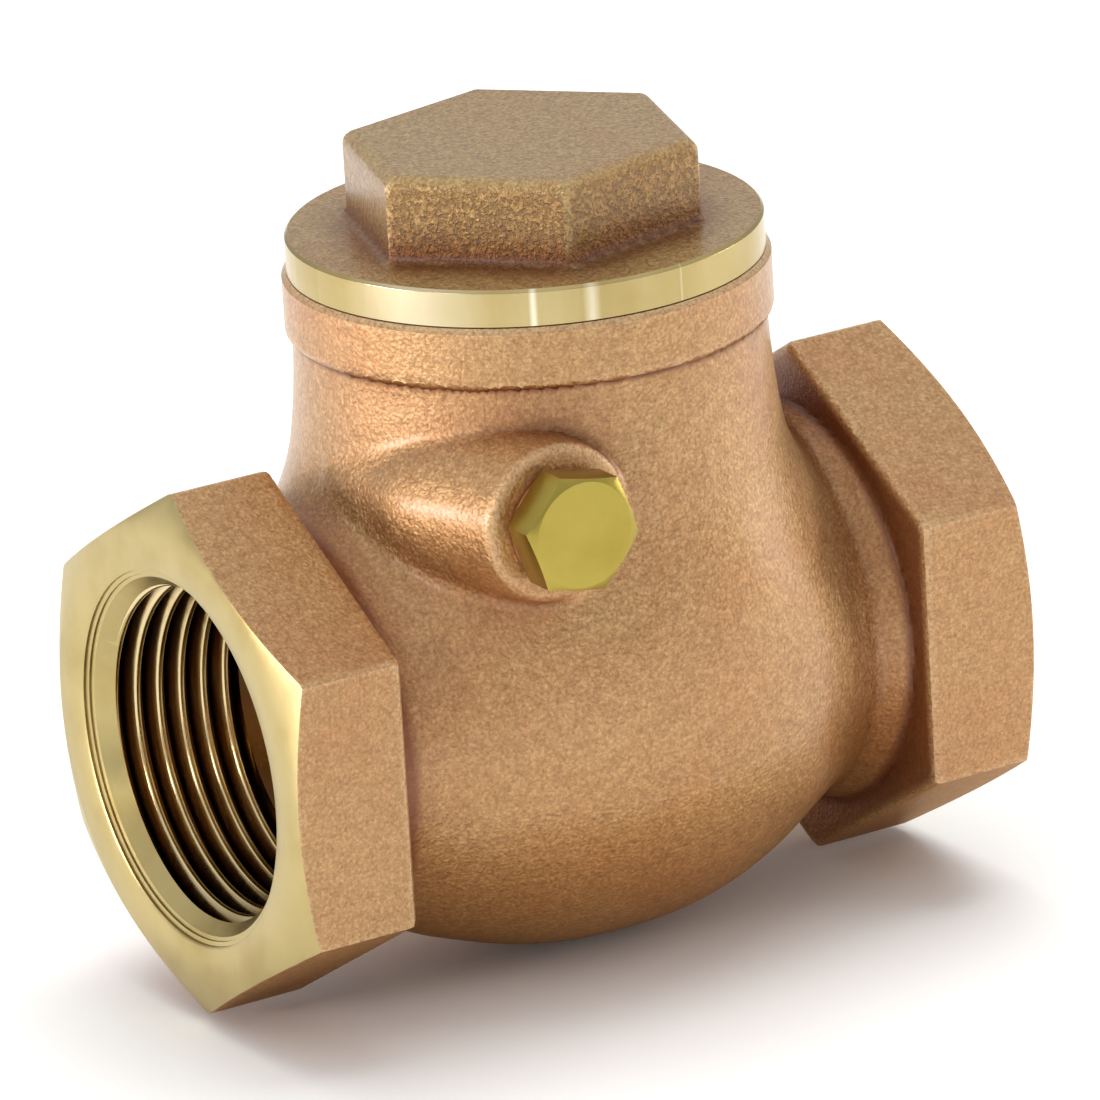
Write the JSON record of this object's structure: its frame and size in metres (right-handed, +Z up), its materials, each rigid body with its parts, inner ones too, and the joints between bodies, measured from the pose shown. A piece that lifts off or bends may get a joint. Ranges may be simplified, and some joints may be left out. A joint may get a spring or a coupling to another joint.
{
  "type": "check valve",
  "caption": "Threaded bronze swing check valve with a screwed hexagon bonnet, a hinge pin behind a side plug and a hinged disc that closes on a raised seat.",
  "frame": {"origin": "centre of the inlet port's face", "axes": "+X along the flow from inlet to outlet, +Z up the bonnet's axis, and the side plug faces -Y"},
  "size_m": [0.076, 0.0506, 0.0737],
  "materials": {
    "cast_bronze": "sand-cast bronze, granular and satin, with machined port faces",
    "bonnet_bronze": "sand-cast bronze with a turned rim",
    "gasket_fibre": "matt compressed fibre",
    "plug_brass": "milled yellow brass",
    "copper_washer": "dull copper",
    "pin_steel": "ground stainless steel",
    "trim_bronze": "cast bronze with machined faces",
    "turned_brass": "turned brass",
    "seat_ptfe": "smooth off-white PTFE"
  },
  "bodies": {
    "valve_body": {"body": "cast_bronze"},
    "pin": {"hinge_pin": "pin_steel"},
    "clapper": {"disc_hanger": "trim_bronze"},
    "disc": {"disc_holder": "trim_bronze", "hanger_washer": "turned_brass", "hanger_nut": "turned_brass", "seat_disc": "seat_ptfe", "seat_disc_washer": "turned_brass", "seat_disc_nut": "turned_brass"},
    "bonnet_seal": {"bonnet_gasket": "gasket_fibre"},
    "cap": {"bonnet": "bonnet_bronze"},
    "plug_seal": {"plug_washer": "copper_washer"},
    "plug": {"side_plug": "plug_brass"}
  },
  "joints": [
    {"name": "pin_spin", "type": "hinge", "parent": "valve_body", "child": "pin", "pos_m": [0.0272, 0, 0.0213], "axis": [0, -1, 0], "continuous": true},
    {"name": "clapper_swing", "type": "hinge", "parent": "valve_body", "child": "clapper", "pos_m": [0.0272, 0, 0.0213], "axis": [0, -1, 0], "range_deg": [0, 68]},
    {"name": "disc_spin", "type": "hinge", "parent": "clapper", "child": "disc", "pos_m": [0.0317, 0, 0], "axis": [1, 0, 0], "continuous": true},
    {"name": "bonnet_lift", "type": "slide", "parent": "valve_body", "child": "bonnet_seal", "axis": [0, 0, 1], "range_m": [0, 0.008]},
    {"name": "bonnet_unscrew", "type": "hinge", "parent": "bonnet_seal", "child": "cap", "pos_m": [0.0383, 0, 0.0381], "axis": [0, 0, 1], "range_deg": [0, 1440]},
    {"name": "plug_lift", "type": "slide", "parent": "valve_body", "child": "plug_seal", "axis": [0, -1, 0], "range_m": [0, 0.005]},
    {"name": "plug_unscrew", "type": "hinge", "parent": "plug_seal", "child": "plug", "pos_m": [0.0272, -0.0224, 0.0213], "axis": [0, -1, 0], "range_deg": [0, 1440]}
  ],
  "couplings": [
    {"joint": "bonnet_unscrew", "follows": "bonnet_lift", "rad_per_m": 3141.6},
    {"joint": "plug_unscrew", "follows": "plug_lift", "rad_per_m": 5026.5}
  ]
}
